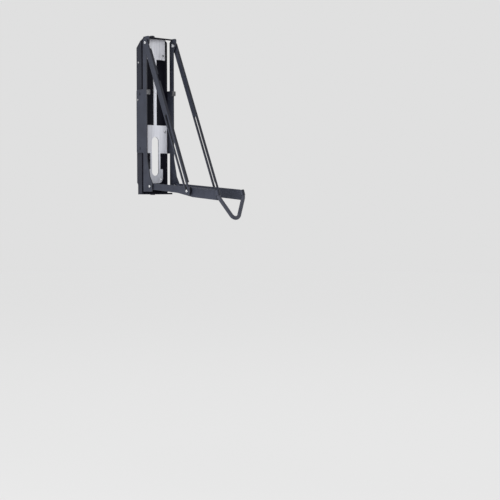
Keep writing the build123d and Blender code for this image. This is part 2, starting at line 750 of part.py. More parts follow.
# Sliders: a bolt with a roller in the slot and a spacer towards the lower arm
with BuildPart() as slider_bolts:
    for _, sign in sides:
        head_x = sign * (stay_outer + face_gap)
        bar_x(sign * (arm_outer + open_pivot_gap), head_x, stay_pivot_out, stay_pivot_z, slider_bolt_d)
        dome_head(head_x, sign, stay_pivot_out, stay_pivot_z, bolt_head_d, bolt_head_thick)
finish(slider_bolts, "slider_bolts")

with BuildPart() as slider_rollers:
    for _, sign in sides:
        ring_x(sign * (stay_inner - face_gap), sign * (stay_outer + face_gap), stay_pivot_out, stay_pivot_z,
               roller_d, slider_bolt_d + 2 * running_gap)
finish(slider_rollers, "slider_rollers")

with BuildPart() as slider_spacers:
    for _, sign in sides:
        ring_x(sign * (arm_outer + open_pivot_gap), sign * (stay_inner - face_gap),
               stay_pivot_out, stay_pivot_z, spacer_d, slider_bolt_d + 2 * running_gap)
finish(slider_spacers, "slider_spacers")

with BuildPart() as slider_nuts:
    for _, sign in sides:
        hex_x(sign * (arm_inner - nut_thick), sign * arm_inner, stay_pivot_out, stay_pivot_z, nut_flats)
finish(slider_nuts, "slider_nuts")

# Lower arms, deeper past the stays, with the cradle's sleeve at the tip
tilt = radians(cradle_tilt)
for side, sign in sides:
    sleeve_plane = Plane(origin=(sign * arm_mid_x, -cradle_out, cradle_top), x_dir=(1, 0, 0),
                         z_dir=(0, -sin(tilt), -cos(tilt)))
    with BuildPart() as arm:
        with BuildSketch(side_plane(slab_start(sign, arm_inner, arm_outer))) as arm_face:
            with BuildLine():
                Polyline(
                    (bottom_pivot_out, bottom_pivot_z + arm_root_radius),
                    (arm_front, arm_tip_top),
                    (arm_front + (arm_tip_top - arm_tip_bottom) * sin(tilt), arm_tip_bottom),
                    (arm_step_out, arm_step_bottom),
                    (arm_mid_out, arm_mid_bottom),
                    (bottom_pivot_out, bottom_pivot_z - arm_root_radius),
                    close=True,
                )
            make_face()
            fillet(arm_face.vertices().filter_by(lambda v: abs(v.X - arm_step_out) < same_place), arm_corner)
            fillet(arm_face.vertices().filter_by(lambda v: abs(v.X - arm_mid_out) < same_place), arm_corner)
            with Locations((bottom_pivot_out, bottom_pivot_z)):
                Circle(arm_root_radius)
                Circle(bush_d / 2 + bolt_gap, mode=Mode.SUBTRACT)
        extrude(amount=arm_thick)
        outer_face = arm.faces().sort_by(Axis.X)[0 if sign < 0 else -1]
        chamfer(outer_face.outer_wire().edges(), edge_break)
        with BuildSketch(sleeve_plane.offset(-sleeve_length)):
            Circle(sleeve_d / 2)
        extrude(amount=3 * sleeve_length, mode=Mode.SUBTRACT)
    finish(arm, f"{side}_lower_arm")

with BuildPart() as sleeves:
    for _, sign in sides:
        sleeve_plane = Plane(origin=(sign * arm_mid_x, -cradle_out, cradle_top), x_dir=(1, 0, 0),
                             z_dir=(0, -sin(tilt), -cos(tilt)))
        with BuildSketch(sleeve_plane):
            Circle(sleeve_d / 2)
        extrude(amount=sleeve_length)
        with BuildSketch(sleeve_plane.offset(sleeve_cap)):
            Circle(wire_d / 2 + bolt_gap)
        extrude(amount=sleeve_length, mode=Mode.SUBTRACT)
finish(sleeves, "cradle_sleeves")

# Wire cradle, one bent round bar
cradle_plane = Plane(origin=(0, -cradle_out, cradle_top), x_dir=(1, 0, 0), z_dir=(0, -cos(tilt), sin(tilt)))
with BuildPart() as cradle:
    with BuildLine(cradle_plane) as cradle_path:
        FilletPolyline(
            (-arm_mid_x, -sleeve_cap),
            (-arm_mid_x, -leg_straight),
            (0, -cradle_depth),
            (arm_mid_x, -leg_straight),
            (arm_mid_x, -sleeve_cap),
            radius=(leg_bend, tip_bend, leg_bend),
        )
    with BuildSketch(Plane(origin=cradle_path.line @ 0, z_dir=cradle_path.line % 0)):
        Circle(wire_d / 2)
    sweep()
finish(cradle, "wire_cradle")
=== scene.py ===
import json
import math
import bpy
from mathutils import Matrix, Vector


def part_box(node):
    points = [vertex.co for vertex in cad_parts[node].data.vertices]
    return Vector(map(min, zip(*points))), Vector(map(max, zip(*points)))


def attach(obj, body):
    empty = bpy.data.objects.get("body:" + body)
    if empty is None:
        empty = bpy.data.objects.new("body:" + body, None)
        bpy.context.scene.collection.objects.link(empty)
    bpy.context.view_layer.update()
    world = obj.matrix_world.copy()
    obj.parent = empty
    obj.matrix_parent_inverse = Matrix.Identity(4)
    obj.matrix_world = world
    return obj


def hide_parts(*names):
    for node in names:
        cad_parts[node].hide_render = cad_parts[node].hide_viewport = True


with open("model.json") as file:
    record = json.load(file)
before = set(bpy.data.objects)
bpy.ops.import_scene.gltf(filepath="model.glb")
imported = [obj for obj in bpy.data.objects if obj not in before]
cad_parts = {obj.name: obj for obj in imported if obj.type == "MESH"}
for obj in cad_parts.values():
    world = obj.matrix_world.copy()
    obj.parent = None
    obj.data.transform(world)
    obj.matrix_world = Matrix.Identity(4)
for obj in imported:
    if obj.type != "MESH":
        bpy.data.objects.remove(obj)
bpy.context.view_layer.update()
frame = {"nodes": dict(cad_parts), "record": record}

scene = bpy.context.scene
mm = 0.001
print("frame loaded:", len(frame["nodes"]), "nodes")


# camera

cameraSetup = {
    "place": (-2.589, -3.507, -0.286),  # metres, from the origin on the wall
    "azimuth": 42.0,                    # degrees, turned from looking straight at the wall
    "pitchDown": 3.1,
    "lens": 79.8,
    "sensor": 36.0,
}


def makeCamera(setup):
    data = bpy.data.cameras.new("photoCamera")
    data.lens = setup["lens"]
    data.sensor_width = setup["sensor"]
    data.clip_end = 100
    cam = bpy.data.objects.new("photoCamera", data)
    scene.collection.objects.link(cam)
    cam.location = setup["place"]
    cam.rotation_euler = (math.radians(90 - setup["pitchDown"]), 0, math.radians(-setup["azimuth"]))
    scene.camera = cam


makeCamera(cameraSetup)
print("camera placed")


# small helpers for modelling and for shader nodes

def pickOnly(obj):
    if bpy.context.object and bpy.context.object.mode != "OBJECT":
        bpy.ops.object.mode_set(mode="OBJECT")
    bpy.ops.object.select_all(action="DESELECT")
    obj.select_set(True)
    bpy.context.view_layer.objects.active = obj


def settle(obj):
    pickOnly(obj)
    bpy.ops.object.transform_apply(location=True, rotation=True, scale=True)


def joinAll(objs, name):
    pickOnly(objs[0])
    for obj in objs[1:]:
        obj.select_set(True)
    bpy.ops.object.join()
    joined = bpy.context.object
    joined.name = name
    joined.data.name = name
    settle(joined)
    return joined


def smooth(obj, degrees=35):
    pickOnly(obj)
    bpy.ops.object.shade_smooth_by_angle(angle=math.radians(degrees))


def addNode(tree, kind, **settings):
    node = tree.nodes.new(kind)
    for key, value in settings.items():
        if hasattr(node, key):
            setattr(node, key, value)
        else:
            node.inputs[key.replace("_", " ")].default_value = value
    return node


def newGroup(name, inputs, outputs):
    group = bpy.data.node_groups.new(name, "ShaderNodeTree")
    for label, kind, value in inputs:
        socket = group.interface.new_socket(label, in_out="INPUT", socket_type=kind)
        if value is not None:
            socket.default_value = value
    for label, kind in outputs:
        group.interface.new_socket(label, in_out="OUTPUT", socket_type=kind)
    return group, group.nodes.new("NodeGroupInput"), group.nodes.new("NodeGroupOutput")


# shared surface effects

def makeGrainGroup():
    group, gin, gout = newGroup(
        "fineGrain",
        [("Vector", "NodeSocketVector", None), ("Fine Scale", "NodeSocketFloat", 900.0),
         ("Patch Scale", "NodeSocketFloat", 14.0)],
        [("Height", "NodeSocketFloat"), ("Patch", "NodeSocketFloat")])
    fine = addNode(group, "ShaderNodeTexNoise", Detail=2.0, Roughness=0.5)
    coarse = addNode(group, "ShaderNodeTexNoise", Detail=4.0, Roughness=0.6)
    link = group.links.new
    link(gin.outputs["Vector"], fine.inputs["Vector"])
    link(gin.outputs["Fine Scale"], fine.inputs["Scale"])
    link(gin.outputs["Vector"], coarse.inputs["Vector"])
    link(gin.outputs["Patch Scale"], coarse.inputs["Scale"])
    link(fine.outputs["Fac"], gout.inputs["Height"])
    link(coarse.outputs["Fac"], gout.inputs["Patch"])
    return group


def makeEdgeGroup():
    group, gin, gout = newGroup(
        "edgeRub",
        [("Vector", "NodeSocketVector", None), ("Radius", "NodeSocketFloat", 0.0012),
         ("Break Up", "NodeSocketFloat", 120.0)],
        [("Mask", "NodeSocketFloat")])
    bevel = addNode(group, "ShaderNodeBevel", samples=4)
    geometry = addNode(group, "ShaderNodeNewGeometry")
    dot = addNode(group, "ShaderNodeVectorMath", operation="DOT_PRODUCT")
    ramp = addNode(group, "ShaderNodeMapRange", From_Min=0.995, From_Max=0.85)
    noise = addNode(group, "ShaderNodeTexNoise", Detail=5.0, Roughness=0.65)
    spots = addNode(group, "ShaderNodeMapRange", From_Min=0.48, From_Max=0.66)
    times = addNode(group, "ShaderNodeMath", operation="MULTIPLY")
    link = group.links.new
    link(gin.outputs["Radius"], bevel.inputs["Radius"])
    link(bevel.outputs["Normal"], dot.inputs[0])
    link(geometry.outputs["Normal"], dot.inputs[1])
    link(dot.outputs["Value"], ramp.inputs["Value"])
    link(gin.outputs["Vector"], noise.inputs["Vector"])
    link(gin.outputs["Break Up"], noise.inputs["Scale"])
    link(noise.outputs["Fac"], spots.inputs["Value"])
    link(ramp.outputs["Result"], times.inputs[0])
    link(spots.outputs["Result"], times.inputs[1])
    link(times.outputs["Value"], gout.inputs["Mask"])
    return group


def makeDustGroup():
    group, gin, gout = newGroup(
        "settledDust",
        [("Vector", "NodeSocketVector", None), ("Patch Scale", "NodeSocketFloat", 30.0)],
        [("Mask", "NodeSocketFloat")])
    geometry = addNode(group, "ShaderNodeNewGeometry")
    split = addNode(group, "ShaderNodeSeparateXYZ")
    upward = addNode(group, "ShaderNodeMapRange", From_Min=0.35, From_Max=1.0)
    noise = addNode(group, "ShaderNodeTexNoise", Detail=6.0, Roughness=0.7)
    patch = addNode(group, "ShaderNodeMapRange", From_Min=0.35, From_Max=0.75)
    times = addNode(group, "ShaderNodeMath", operation="MULTIPLY")
    link = group.links.new
    link(geometry.outputs["Normal"], split.inputs[0])
    link(split.outputs["Z"], upward.inputs["Value"])
    link(gin.outputs["Vector"], noise.inputs["Vector"])
    link(gin.outputs["Patch Scale"], noise.inputs["Scale"])
    link(noise.outputs["Fac"], patch.inputs["Value"])
    link(upward.outputs["Result"], times.inputs[0])
    link(patch.outputs["Result"], times.inputs[1])
    link(times.outputs["Value"], gout.inputs["Mask"])
    return group


# painted shade: darkens recesses, corners and the spots between parts where shade falls, found by ambient
# occlusion
def makeCreviceShadeGroup():
    group, gin, gout = newGroup(
        "creviceShade",
        [("Vector", "NodeSocketVector", None), ("Reach", "NodeSocketFloat", 0.03),
         ("Break Up", "NodeSocketFloat", 70.0)],
        [("Mask", "NodeSocketFloat")])
    hollow = addNode(group, "ShaderNodeAmbientOcclusion", samples=8)
    depth = addNode(group, "ShaderNodeMapRange", From_Min=0.92, From_Max=0.42)
    noise = addNode(group, "ShaderNodeTexNoise", Detail=4.0, Roughness=0.6)
    patch = addNode(group, "ShaderNodeMapRange", From_Min=0.3, From_Max=0.7, To_Min=0.75, To_Max=1.0)
    times = addNode(group, "ShaderNodeMath", operation="MULTIPLY")
    link = group.links.new
    link(gin.outputs["Reach"], hollow.inputs["Distance"])
    link(hollow.outputs["AO"], depth.inputs["Value"])
    link(gin.outputs["Vector"], noise.inputs["Vector"])
    link(gin.outputs["Break Up"], noise.inputs["Scale"])
    link(noise.outputs["Fac"], patch.inputs["Value"])
    link(depth.outputs["Result"], times.inputs[0])
    link(patch.outputs["Result"], times.inputs[1])
    link(times.outputs["Value"], gout.inputs["Mask"])
    return group


grainGroup = makeGrainGroup()
edgeGroup = makeEdgeGroup()
dustGroup = makeDustGroup()
creviceShadeGroup = makeCreviceShadeGroup()
print("surface effects ready")


# materials

def startMaterial(name):
    mat = bpy.data.materials.new(name)
    mat.use_nodes = True
    tree = mat.node_tree
    shader = tree.nodes["Principled BSDF"]
    coords = addNode(tree, "ShaderNodeTexCoord")
    return mat, tree, shader, coords.outputs["Object"]


def useGroup(tree, group, vector, **values):
    node = tree.nodes.new("ShaderNodeGroup")
    node.node_tree = group
    tree.links.new(vector, node.inputs["Vector"])
    for key, value in values.items():
        node.inputs[key.replace("_", " ")].default_value = value
    return node


def mixColour(tree, factor, first, second, blend="MIX"):
    node = addNode(tree, "ShaderNodeMix", data_type="RGBA", blend_type=blend)
    tree.links.new(factor, node.inputs[0])
    for index, value in ((6, first), (7, second)):
        if isinstance(value, tuple):
            node.inputs[index].default_value = value + (1,)
        else:
            tree.links.new(value, node.inputs[index])
    return node.outputs[2]


def rangeOf(tree, value, low, high, fromLow=0.0, fromHigh=1.0):
    node = addNode(tree, "ShaderNodeMapRange", From_Min=fromLow, From_Max=fromHigh, To_Min=low, To_Max=high)
    tree.links.new(value, node.inputs["Value"])
    return node.outputs["Result"]


def bumpFrom(tree, shader, height, distance, strength):
    node = addNode(tree, "ShaderNodeBump", Distance=distance, Strength=strength)
    tree.links.new(height, node.inputs["Height"])
    tree.links.new(node.outputs["Normal"], shader.inputs["Normal"])


def useGrain(tree, vector, look):
    return useGroup(tree, grainGroup, vector, Fine_Scale=look["fineScale"], Patch_Scale=look["patchScale"])


def finishSurface(tree, shader, grain, look):
    rough = rangeOf(tree, grain.outputs["Patch"], *look["roughness"], 0.3, 0.7)
    tree.links.new(rough, shader.inputs["Roughness"])
    bumpFrom(tree, shader, grain.outputs["Height"], *look["bump"])


coatLook = {
    "dark": (0.033, 0.037, 0.053),
    "light": (0.045, 0.050, 0.070),
    "rubbed": (0.15, 0.155, 0.17),
    "dust": (0.19, 0.19, 0.20),
    # painted shade: near black put into recesses and on faces that look out from the wall
    "paintedShade": (0.004, 0.004, 0.008),
    "paintedShadeReach": 0.06,
    "sheen": 0.22,            # specular level
    "frontShade": 0.7,         # painted shade: how far faces that look out from the wall go to black
    "fineScale": 850.0,       # grain and patches, per metre
    "patchScale": 18.0,
    "edgeRadius": 0.0011,     # metres
    "rubShare": 0.8,
    "dustShare": 0.22,
    "paintedShadeShare": 0.9,
    "roughness": (0.36, 0.5),
    "bump": (0.00012, 0.35),  # depth in metres, strength
}
# painted light: the wire gets the black coat painted lighter, with little painted shade on its front faces
litWireLook = dict(coatLook, dark=(0.044, 0.047, 0.064), light=(0.056, 0.060, 0.080), frontShade=0.1)
# painted shade: the channel gets the black coat with its front faces painted almost black
shadedChannelLook = dict(coatLook, dark=(0.032, 0.034, 0.044), light=(0.042, 0.044, 0.056),
                   sheen=0.03, frontShade=0.9)


def makeBlackCoat(name, look):
    mat, tree, shader, vector = startMaterial(name)
    shader.inputs["Specular IOR Level"].default_value = look["sheen"]
    grain = useGrain(tree, vector, look)
    edge = useGroup(tree, edgeGroup, vector, Radius=look["edgeRadius"], Break_Up=140.0)
    dust = useGroup(tree, dustGroup, vector, Patch_Scale=40.0)
    patch = rangeOf(tree, grain.outputs["Patch"], 0, 1, 0.35, 0.65)
    base = mixColour(tree, patch, look["dark"], look["light"])
    rub = rangeOf(tree, edge.outputs["Mask"], 0, look["rubShare"])
    worn = mixColour(tree, rub, base, look["rubbed"])
    fall = rangeOf(tree, dust.outputs["Mask"], 0, look["dustShare"])
    dusty = mixColour(tree, fall, worn, look["dust"])
    # painted shade in recesses and corners
    paintedShade = useGroup(tree, creviceShadeGroup, vector, Reach=look["paintedShadeReach"], Break_Up=60.0)
    deep = rangeOf(tree, paintedShade.outputs["Mask"], 0, look["paintedShadeShare"])
    creviceShaded = mixColour(tree, deep, dusty, look["paintedShade"])
    # painted shade: faces that look out from the wall are darkened towards black
    geometry = addNode(tree, "ShaderNodeNewGeometry")
    facing = addNode(tree, "ShaderNodeSeparateXYZ")
    tree.links.new(geometry.outputs["True Normal"], facing.inputs[0])
    front = rangeOf(tree, facing.outputs["Y"], 0, look["frontShade"], -0.5, -0.9)
    tree.links.new(mixColour(tree, front, creviceShaded, look["paintedShade"]), shader.inputs["Base Color"])
    finishSurface(tree, shader, grain, look)
    return mat


# plain materials with a mottled colour: spread says how much of the patches counts

zincLook = {
    "main": (0.78, 0.79, 0.81),
    "mottle": (0.56, 0.57, 0.58),
    "spread": (0.35, 0.7),
    "metal": 1.0,
    "fineScale": 1500.0,
    "patchScale": 160.0,
    "roughness": (0.22, 0.42),
    "bump": (0.00004, 0.3),
}
dullZincLook = dict(zincLook, main=(0.46, 0.46, 0.48), mottle=(0.32, 0.32, 0.34))
nylonLook = {
    "main": (0.022, 0.022, 0.024),
    "mottle": (0.045, 0.045, 0.048),
    "spread": (0.35, 0.7),
    "metal": 0.0,
    "fineScale": 1100.0,
    "patchScale": 90.0,
    "roughness": (0.42, 0.58),
    "bump": (0.00005, 0.4),
}
rubberLook = {
    "main": (0.085, 0.085, 0.092),
    "mottle": (0.16, 0.16, 0.17),
    "spread": (0.4, 0.75),
    "metal": 0.0,
    "fineScale": 1600.0,
    "patchScale": 120.0,
    "roughness": (0.68, 0.82),
    "bump": (0.00008, 0.5),
}


def makeMottled(name, look):
    mat, tree, shader, vector = startMaterial(name)
    grain = useGrain(tree, vector, look)
    patch = rangeOf(tree, grain.outputs["Patch"], 0, 1, *look["spread"])
    tree.links.new(mixColour(tree, patch, look["main"], look["mottle"]), shader.inputs["Base Color"])
    shader.inputs["Metallic"].default_value = look["metal"]
    finishSurface(tree, shader, grain, look)
    return mat


panelLook = {
    "pale": (0.90, 0.91, 0.98),
    "shade": (0.79, 0.80, 0.87),
    "scuff": (0.16, 0.16, 0.17),
    "lowShade": (0.22, 0.24, 0.30),   # painted shade: grey that darkens the panel towards the lower end
    "lowShadeShare": 0.55,
    "lowShadeSpan": (-0.26, 0.1),     # heights, metres
    "scuffShare": 0.5,
    "scuffBand": (0.012, 0.05),      # off the middle, metres
    "streaks": (160.0, 160.0, 5.0),  # per metre, long upright streaks
    # painted shade in recesses and along the edges
    "paintedShadeReach": 0.02,
    "paintedShadeShare": 0.5,
    "fineScale": 1300.0,
    "patchScale": 9.0,
    "roughness": (0.34, 0.48),
    "bump": (0.00004, 0.25),
}


def makePanelCoat(look):
    mat, tree, shader, vector = startMaterial("palePanelSheet")
    grain = useGrain(tree, vector, look)
    stretch = addNode(tree, "ShaderNodeMapping", Scale=look["streaks"])
    tree.links.new(vector, stretch.inputs["Vector"])
    streak = addNode(tree, "ShaderNodeTexNoise", Scale=1.0, Detail=5.0, Roughness=0.6)
    tree.links.new(stretch.outputs["Vector"], streak.inputs["Vector"])
    lines = rangeOf(tree, streak.outputs["Fac"], 0, 1, 0.35, 0.7)
    shade = mixColour(tree, lines, look["pale"], look["shade"])
    split = addNode(tree, "ShaderNodeSeparateXYZ")
    tree.links.new(vector, split.inputs[0])
    offMiddle = addNode(tree, "ShaderNodeMath", operation="ABSOLUTE")
    tree.links.new(split.outputs["X"], offMiddle.inputs[0])
    band = rangeOf(tree, offMiddle.outputs["Value"], look["scuffShare"], 0.0, *look["scuffBand"])
    marks = rangeOf(tree, streak.outputs["Fac"], 0, 1, 0.55, 0.8)
    rub = addNode(tree, "ShaderNodeMath", operation="MULTIPLY")
    tree.links.new(band, rub.inputs[0])
    tree.links.new(marks, rub.inputs[1])
    scuffed = mixColour(tree, rub.outputs["Value"], shade, look["scuff"])
    # painted shade: darker towards the lower end
    low = rangeOf(tree, split.outputs["Z"], look["lowShadeShare"], 0.0, *look["lowShadeSpan"])
    lowShade = mixColour(tree, low, scuffed, look["lowShade"])
    # painted shade in recesses and along the edges, in the scuff colour
    paintedShade = useGroup(tree, creviceShadeGroup, vector, Reach=look["paintedShadeReach"], Break_Up=50.0)
    deep = rangeOf(tree, paintedShade.outputs["Mask"], 0, look["paintedShadeShare"])
    tree.links.new(mixColour(tree, deep, lowShade, look["scuff"]), shader.inputs["Base Color"])
    finishSurface(tree, shader, grain, look)
    return mat


finishes = {
    "black_coat": makeBlackCoat("blackPowderCoat", coatLook),
    "zinc_steel": makeMottled("brightZinc", zincLook),
    "black_nylon": makeMottled("blackNylon", nylonLook),
    "pale_panel": makePanelCoat(panelLook),
    "grey_rubber": makeMottled("greyRubber", rubberLook),
}
nodeFinishes = {
    "back_channel": makeBlackCoat("channelShadedPowderCoat", shadedChannelLook),
    "wire_cradle": makeBlackCoat("wireLitPowderCoat", litWireLook),
    "side_screws": makeMottled("dullZinc", dullZincLook),
}


def dress(obj, slotName):
    obj.data.materials.clear()
    obj.data.materials.append(finishes[slotName])


def dressNodes():
    for entry in frame["record"]["subparts"]:
        node = frame["nodes"][entry["node"]]
        for slot in node.material_slots:
            slot.material = nodeFinishes.get(entry["node"], finishes[entry["material_slot"]])


def finishPiece(piece, node, body, slotName):
    dress(piece, slotName)
    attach(piece, body)
    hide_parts(node)


dressNodes()
print("materials on the frame")


# fasteners, drawn along X and set out at both sides

axisIndex = {"X": 0, "Z": 2}


def addRod(sides, radius, start, end, axis="X"):
    turn = (0, math.pi / 2, 0) if axis == "X" else (0, 0, 0)
    middle = (start + end) / 2
    place = (middle, 0, 0) if axis == "X" else (0, 0, middle)
    bpy.ops.object.select_all(action="DESELECT")
    bpy.ops.mesh.primitive_cylinder_add(vertices=sides, radius=radius, depth=abs(end - start),
                                        location=place, rotation=turn)
    rod = bpy.context.object
    settle(rod)
    return rod


def pickFaces(obj, wanted):
    pickOnly(obj)
    bpy.ops.object.mode_set(mode="EDIT")
    bpy.ops.mesh.select_mode(type="FACE")
    bpy.ops.mesh.select_all(action="DESELECT")
    bpy.ops.object.mode_set(mode="OBJECT")
    for face in obj.data.polygons:
        face.select = wanted(face)
    bpy.ops.object.mode_set(mode="EDIT")


def cutWith(obj, tool, operation="DIFFERENCE"):
    pickOnly(obj)
    modifier = obj.modifiers.new("cut", "BOOLEAN")
    modifier.operation = operation
    modifier.object = tool
    modifier.solver = "EXACT"
    bpy.ops.object.modifier_apply(modifier="cut")
    bpy.data.objects.remove(tool, do_unlink=True)


def placeCopy(obj, place, turn=0.0):
    copy = obj.copy()
    copy.data = obj.data.copy()
    scene.collection.objects.link(copy)
    copy.rotation_euler = (0, 0, turn)
    copy.location = place
    settle(copy)
    return copy


def setOutPair(pattern, name, out, height):
    place = (0, -out * mm, height * mm)
    pair = [placeCopy(pattern, place), placeCopy(pattern, place, math.pi)]
    bpy.data.objects.remove(pattern, do_unlink=True)
    return joinAll(pair, name)


def drawBolt(look, axis="X"):
    face = look["face"] * mm
    top = face + look["headThick"] * mm
    normalIs = axisIndex[axis]
    bolt = addRod(48, look["headRadius"] * mm, face, top, axis)
    pickFaces(bolt, lambda f: f.normal[normalIs] > 0.9)
    bpy.ops.mesh.bevel(offset=look["crown"] * mm, segments=6, profile=0.5, affect="EDGES")
    bpy.ops.object.mode_set(mode="OBJECT")
    pickFaces(bolt, lambda f: f.normal[normalIs] < -0.9)
    bpy.ops.mesh.inset(thickness=(look["headRadius"] - look["shankRadius"]) * mm)
    run = (look["shankEnd"] - look["face"]) * mm
    move = (run, 0, 0) if axis == "X" else (0, 0, run)
    bpy.ops.mesh.extrude_region_move(TRANSFORM_OT_translate={"value": move})
    bpy.ops.mesh.bevel(offset=look["tipChamfer"] * mm, segments=1, affect="EDGES")
    bpy.ops.object.mode_set(mode="OBJECT")
    corner = look["socketFlats"] / math.sqrt(3) * mm
    socket = addRod(6, corner, top - look["socketDepth"] * mm, top + mm, axis)
    cutWith(bolt, socket)
    return bolt


pivotHead = {"headRadius": 5.2, "headThick": 4.0, "crown": 2.4, "socketFlats": 4.0, "socketDepth": 2.2}
pivotBolts = {
    "topPivotBolts": dict(pivotHead, node="top_pivot_bolts", body="swing_frame", out=124.0, height=266.0,
                          face=72.7, shankRadius=4.0, shankEnd=56.0, tipChamfer=0.6),
    "footPivotBolts": dict(pivotHead, node="bottom_pivot_bolts", body="swing_frame", out=140.0,
                           height=-272.0, face=66.0, shankRadius=4.0, shankEnd=49.3, tipChamfer=0.6),
    "slideBolts": dict(pivotHead, node="slider_bolts", body="stay_sliders", out=371.0, height=-290.0,
                       face=72.7, shankRadius=3.0, shankEnd=60.8, tipChamfer=0.5),
}


def makePivotBolts():
    for name, look in pivotBolts.items():
        bolts = setOutPair(drawBolt(look), name, look["out"], look["height"])
        smooth(bolts)
        finishPiece(bolts, look["node"], look["body"], "zinc_steel")


def drawNut(look, axis="X"):
    corner = look["flats"] / math.sqrt(3) * mm
    start = look["start"] * mm
    end = look["end"] * mm
    normalIs = axisIndex[axis]
    nut = addRod(6, corner, start, end, axis)
    turned = addRod(64, corner, start, end, axis)
    pickFaces(turned, lambda f: abs(f.normal[normalIs]) > 0.9)
    bpy.ops.mesh.bevel(offset=look["chamfer"] * mm, segments=3, profile=0.5, affect="EDGES")
    bpy.ops.object.mode_set(mode="OBJECT")
    cutWith(nut, turned, "INTERSECT")
    bore = addRod(32, look["bore"] * mm, start - mm, end + mm, axis)
    cutWith(nut, bore)
    return nut


lockNuts = {
    "topPivotNuts": {"node": "top_pivot_nuts", "body": "swing_frame", "out": 124.0, "height": 266.0,
                     "flats": 13.0, "start": 57.0, "end": 62.0, "bore": 4.1, "chamfer": 0.8},
    "footPivotNuts": {"node": "bottom_pivot_nuts", "body": "swing_frame", "out": 140.0, "height": -272.0,
                      "flats": 13.0, "start": 49.3, "end": 54.3, "bore": 4.1, "chamfer": 0.8},
    "slideNuts": {"node": "slider_nuts", "body": "cradle_arms", "out": 371.0, "height": -290.0,
                  "flats": 13.0, "start": 49.5, "end": 54.5, "bore": 3.1, "chamfer": 0.8},
}


def makeLockNuts():
    for name, look in lockNuts.items():
        nuts = setOutPair(drawNut(look), name, look["out"], look["height"])
        smooth(nuts)
        finishPiece(nuts, look["node"], look["body"], "zinc_steel")


# swivel pins and their nuts, drawn along Z; the lower pin is drawn head up, then turned over

pinShank = {"shankRadius": 5.0, "tipChamfer": 0.8}
pinNut = {"flats": 17.0, "bore": 5.1, "chamfer": 1.0}
swivelPins = {
    "out": 70.0,
    "upper": dict(pinShank, node="upper_swivel_pin", face=290.2, shankEnd=247.8, headRadius=11.0,
                  headThick=14.0, crown=6.0, socketFlats=8.0, socketDepth=5.0),
    "lower": dict(pinShank, node="lower_swivel_pin", face=303.2, shankEnd=264.8, headRadius=9.0,
                  headThick=2.0, crown=0.9, socketFlats=6.0, socketDepth=1.2),
    "upperNut": dict(pinNut, node="upper_pin_nut", start=248.8, end=255.8),
    "lowerNut": dict(pinNut, node="lower_pin_nut", start=-272.8, end=-265.8),
}


def makeSwivelPins(setup):
    place = (0, -setup["out"] * mm, 0)
    for name in ("upper", "lower"):
        pattern = drawBolt(setup[name], "Z")
        if name == "lower":
            pattern.rotation_euler = (math.pi, 0, 0)
            settle(pattern)
        pin = placeCopy(pattern, place)
        bpy.data.objects.remove(pattern, do_unlink=True)
        pin.name = name + "SwivelPin"
        smooth(pin)
        finishPiece(pin, setup[name]["node"], "wall_mount", "black_coat")
        pattern = drawNut(setup[name + "Nut"], "Z")
        nut = placeCopy(pattern, place)
        bpy.data.objects.remove(pattern, do_unlink=True)
        nut.name = name + "PinNut"
        smooth(nut)
        finishPiece(nut, setup[name + "Nut"]["node"], "wall_mount", "zinc_steel")


# ribbed rubber pads that the folded arms lean on

stopPads = {
    "width": 11.0,
    "chamfer": 1.1,
    "plainEnd": 2.2,       # in chamfers, before the first rib
    "ribs": 4,
    "grooveDepth": 1.2,
    "landShare": 0.6,      # rib width against the pitch
}


def drawPad(setup, low, high):
    size = [high[i] - low[i] for i in range(3)]
    bpy.ops.object.select_all(action="DESELECT")
    bpy.ops.mesh.primitive_cube_add(size=1, location=[(low[i] + high[i]) / 2 for i in range(3)])
    pad = bpy.context.object
    pad.scale = size
    settle(pad)
    pickFaces(pad, lambda f: True)
    bpy.ops.mesh.bevel(offset=setup["chamfer"] * mm, segments=3, affect="EDGES")
    edge = setup["plainEnd"] * setup["chamfer"] * mm
    pitch = (size[2] - 2 * edge) / (setup["ribs"] - (1 - setup["landShare"]))
    grooves = []
    for i in range(setup["ribs"] - 1):
        start = low[2] + edge + pitch * (i + setup["landShare"])
        grooves.append((start, low[2] + edge + pitch * (i + 1)))
    for groove in grooves:
        for z in groove:
            bpy.ops.mesh.select_all(action="SELECT")
            bpy.ops.mesh.bisect(plane_co=(0, 0, z), plane_no=(0, 0, 1))
    bpy.ops.object.mode_set(mode="OBJECT")
    for start, end in grooves:
        pickFaces(pad, lambda f: f.normal.y < -0.99 and start < f.center.z < end)
        bpy.ops.mesh.extrude_region_move(
            TRANSFORM_OT_translate={"value": (0, setup["grooveDepth"] * mm, 0)})
        bpy.ops.object.mode_set(mode="OBJECT")
    return pad


def makeStopPads(setup):
    low, high = [list(c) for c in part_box("stop_pads")]
    width = setup["width"] * mm
    right = drawPad(setup, [high[0] - width, low[1], low[2]], high)
    left = drawPad(setup, low, [low[0] + width, high[1], high[2]])
    pads = joinAll([right, left], "ribbedStopPads")
    smooth(pads)
    finishPiece(pads, "stop_pads", "swing_frame", "grey_rubber")


# weld beads where the arms meet the cradle's sleeves

armWelds = {
    "armFaces": (54.5, 60.5),
    "sleeveTop": (523.0, -287.0),    # out and up, mm
    "tilt": 19.0,
    "behind": 8.3,
    "span": (2.5, 17.5),
    "scales": 8,
    "radius": 1.7,
    "voxel": 0.35,                   # mm, how finely the scales flow together
}


